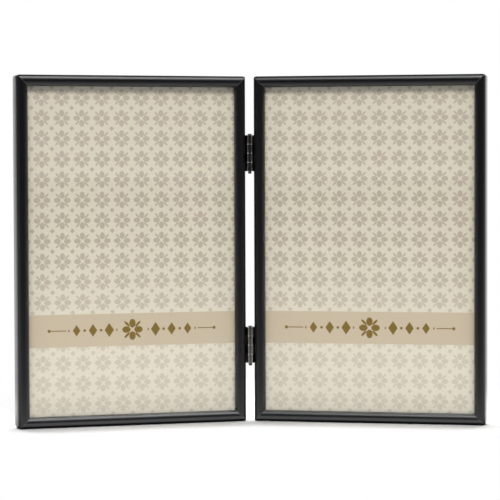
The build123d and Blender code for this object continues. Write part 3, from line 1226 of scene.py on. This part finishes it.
def floor_surface(wire, stage):
    """White floor that keeps the shadow near the object; what mirrors it sees a pool of light that fades."""
    line = 0.6 * MM
    inner_line = 0.2 * MM
    soft = 1 * MM
    end_fade = 6 * MM
    gap_fade = (6 * MM, 18 * MM)
    shadow_fade = (8 * MM, 32 * MM)
    side_slant = 0.62
    side_fade = 12 * MM
    side_start = -30 * MM
    side_shade = 0.65
    pool_level = 0.34
    mirrored = ray_share(wire, "Glossy")
    direct = ray_share(wire, "Camera", "Transmission")
    thrown_back = ray_share(wire, "Diffuse")

    across, depth, _ = place_on_piece(wire).parts()
    along, behind, _ = place_on_leaf(wire)
    past_front = behind - LEAF_LOW.y
    in_front = (0 - past_front).most(0.0)
    far = ((across ** 2 + depth ** 2) ** 0.5).rising(stage.shadow_reach * 0.5, stage.shadow_reach)
    under = past_front.rising(-line, inner_line) * past_front.below(LEAF_DEPTH, soft)
    left_of_side = (LEAF_HIGH.x + across + depth * side_slant).below(0.0, side_fade)
    off_side = left_of_side * depth.rising(side_start, 0.0)

    dim = thrown_back * in_front.rising(stage.close_pool * 0.5, stage.close_pool * 1.5)
    # Painted light behind the gap between the leaves: the floor keeps its white there, while a darker tone
    # behind the leaves lets their shadow show.
    outside_gap_light = abs(across).rising(*gap_fade) * along.below(LEAF_HIGH.x - end_fade, end_fade)
    at_back = past_front.rising(LEAF_DEPTH - soft, LEAF_DEPTH) * outside_gap_light * direct
    front_tone = dim.blend(solid(stage.floor), solid(stage.far_floor))
    tone = at_back.blend(front_tone, solid(stage.back_floor))
    lit = wire.node("ShaderNodeBsdfDiffuse", None, {"Color": tone})

    # Painted pool of light: the floor glows for mirrored rays only.
    close = 1 / ((in_front / stage.edge_pool) ** 2 + 1)
    pool_light = (pool_level + close * (1 - pool_level)) / ((in_front / stage.front_pool) ** 4 + 1)
    # Painted shade in the mirrored floor, under the leaves and off the left side.
    shade = mirrored * (1 - pool_light).most(off_side * side_shade).most(under)
    white = wire.node("ShaderNodeEmission", None, {"Color": shade.blend(solid((1, 1, 1)), solid(stage.room))})
    seen = far.most(in_front.rising(*shadow_fade)) * direct
    pool = in_front.rising(0.0, line).most(far).most(under).most(off_side) * mirrored
    return wire.node("ShaderNodeMixShader", None, {0: seen.most(pool), 1: lit, 2: white})


def room_surface(wire, stage):
    """Dark room that only shows in what the object mirrors."""
    return wire.node("ShaderNodeEmission", None, {"Color": solid(stage.room)})


class PHOTOFRAME_OT_build_stage(bpy.types.Operator):
    """Set up the camera, the floor, the dark room and the soft light"""

    bl_idname = "photo_frame.build_stage"
    bl_label = "Build Stage"

    def execute(self, context):
        stage = context.scene.photo_frame_stage
        context.scene.view_settings.view_transform = "Standard"
        self.camera(context, stage)
        self.floor(stage)
        self.room(stage)
        for name, (place, size, setting, unseen) in PANELS.items():
            panel = self.softbox(name, place, size, getattr(stage, setting))
            setattr(panel, f"visible_{unseen}", False)
        self.world(context, stage)
        return {"FINISHED"}

    @staticmethod
    def camera(context, stage):
        """Camera at the viewing angle of the photograph."""
        bpy.ops.object.camera_add()
        camera = context.active_object
        camera.name = "camera"
        camera.data.lens = stage.lens
        camera.data.sensor_width = 36
        turn = Matrix.Rotation(-stage.camera_turn, 4, "Z")
        tilt = Matrix.Rotation(QUARTER_TURN - stage.camera_tilt, 4, "X")
        roll = Matrix.Rotation(stage.camera_roll, 4, "Z")
        camera.matrix_world = Matrix.Translation(stage.camera_place) @ turn @ tilt @ roll
        context.scene.camera = camera

    @staticmethod
    def floor(stage):
        """Plain floor under the object."""
        floor = begin("floor", bpy.ops.mesh.primitive_plane_add, size=stage.floor_size)
        only(floor)
        dress(floor, new_material("floor", floor_surface, stage))

    @staticmethod
    def room(stage):
        """Dome with an opening low at the back, where the white background shows."""
        radius = stage.room_radius
        add_dome = bpy.ops.mesh.primitive_uv_sphere_add
        room = begin("dark_room", add_dome, segments=48, ring_count=24, radius=radius)

        def opening(face):
            across, depth, height = face.calc_center_median() / radius
            low_at_back = depth > OPENING_DEPTH and height < OPENING_HEIGHT
            return height < 0 or (low_at_back and across > OPENING_LEFT)

        choose(room, "FACE", opening)
        bpy.ops.mesh.delete(type="FACE")
        only(room)
        dress(room, new_material("dark_room", room_surface, stage))
        for kind in ("camera", "diffuse", "transmission", "shadow"):
            setattr(room, f"visible_{kind}", False)

    @staticmethod
    def softbox(name, place, size, watts):
        """Even panel of light that faces the middle of the object."""
        aim = Vector((0, 0, LEAF_MIDDLE.z)) - Vector(place)
        bpy.ops.object.light_add(type="AREA", location=place)
        panel = bpy.context.active_object
        panel.name = name
        panel.rotation_euler = aim.to_track_quat("-Z", "Y").to_euler()
        panel.data.shape = "RECTANGLE"
        panel.data.size, panel.data.size_y = size
        panel.data.energy = watts
        panel.visible_camera = False
        return panel

    @staticmethod
    def world(context, stage):
        """Even fill light, and white where the background is seen, mirrored or seen through glass."""
        world = bpy.data.worlds.new("studio")
        context.scene.world = world
        world.use_nodes = True
        world.node_tree.nodes.clear()
        wire = Wire(world.node_tree)
        shown = ray_share(wire, "Camera", "Glossy", "Transmission")
        fill = (stage.fill, stage.fill, stage.fill)
        sky = wire.node("ShaderNodeBackground", None, {"Color": shown.blend(solid(fill), solid((1, 1, 1)))})
        wire.node("ShaderNodeOutputWorld", None, {"Surface": sky})


class PHOTOFRAME_PT_pieces(bpy.types.Panel):
    """Sidebar list of the pieces and the stage"""

    bl_label = "Photo Frame"
    bl_idname = "PHOTOFRAME_PT_pieces"
    bl_space_type = "VIEW_3D"
    bl_region_type = "UI"
    bl_category = "Photo Frame"

    def draw(self, context):
        for operator in OPERATORS:
            self.layout.operator(operator.bl_idname)
        for name in SETTINGS:
            settings = getattr(context.scene, name)
            box = self.layout.box()
            for field in settings.__annotations__:
                box.prop(settings, field)


SETTINGS = {
    "photo_frame_rails": RailSizes,
    "photo_frame_print": PrintDesign,
    "photo_frame_hinges": HingeSizes,
    "photo_frame_buttons": ButtonSizes,
    "photo_frame_backs": BackSizes,
    "photo_frame_stage": StageSetup,
}
OPERATORS = (
    PHOTOFRAME_OT_model_rails,
    PHOTOFRAME_OT_model_glass,
    PHOTOFRAME_OT_finish_prints,
    PHOTOFRAME_OT_finish_boards,
    PHOTOFRAME_OT_model_velvet,
    PHOTOFRAME_OT_model_turn_buttons,
    PHOTOFRAME_OT_model_button_rivets,
    PHOTOFRAME_OT_model_hinges,
    PHOTOFRAME_OT_model_hinge_pins,
    PHOTOFRAME_OT_build_stage,
)
CLASSES = (*SETTINGS.values(), *OPERATORS, PHOTOFRAME_PT_pieces)


def register():
    """Register the classes and give the scene its settings."""
    for item in CLASSES:
        bpy.utils.register_class(item)
    for name, group in SETTINGS.items():
        setattr(bpy.types.Scene, name, PointerProperty(type=group))


def unregister():
    """Take the settings and the classes away again."""
    for name in SETTINGS:
        delattr(bpy.types.Scene, name)
    for item in reversed(CLASSES):
        bpy.utils.unregister_class(item)


def main():
    """Build all pieces and the stage in order."""
    register()
    bpy.ops.photo_frame.model_rails()
    bpy.ops.photo_frame.model_glass()
    bpy.ops.photo_frame.finish_prints()
    bpy.ops.photo_frame.finish_boards()
    bpy.ops.photo_frame.model_velvet()
    bpy.ops.photo_frame.model_turn_buttons()
    bpy.ops.photo_frame.model_button_rivets()
    bpy.ops.photo_frame.model_hinges()
    bpy.ops.photo_frame.model_hinge_pins()
    bpy.ops.photo_frame.build_stage()


if __name__ == "__main__":
    main()
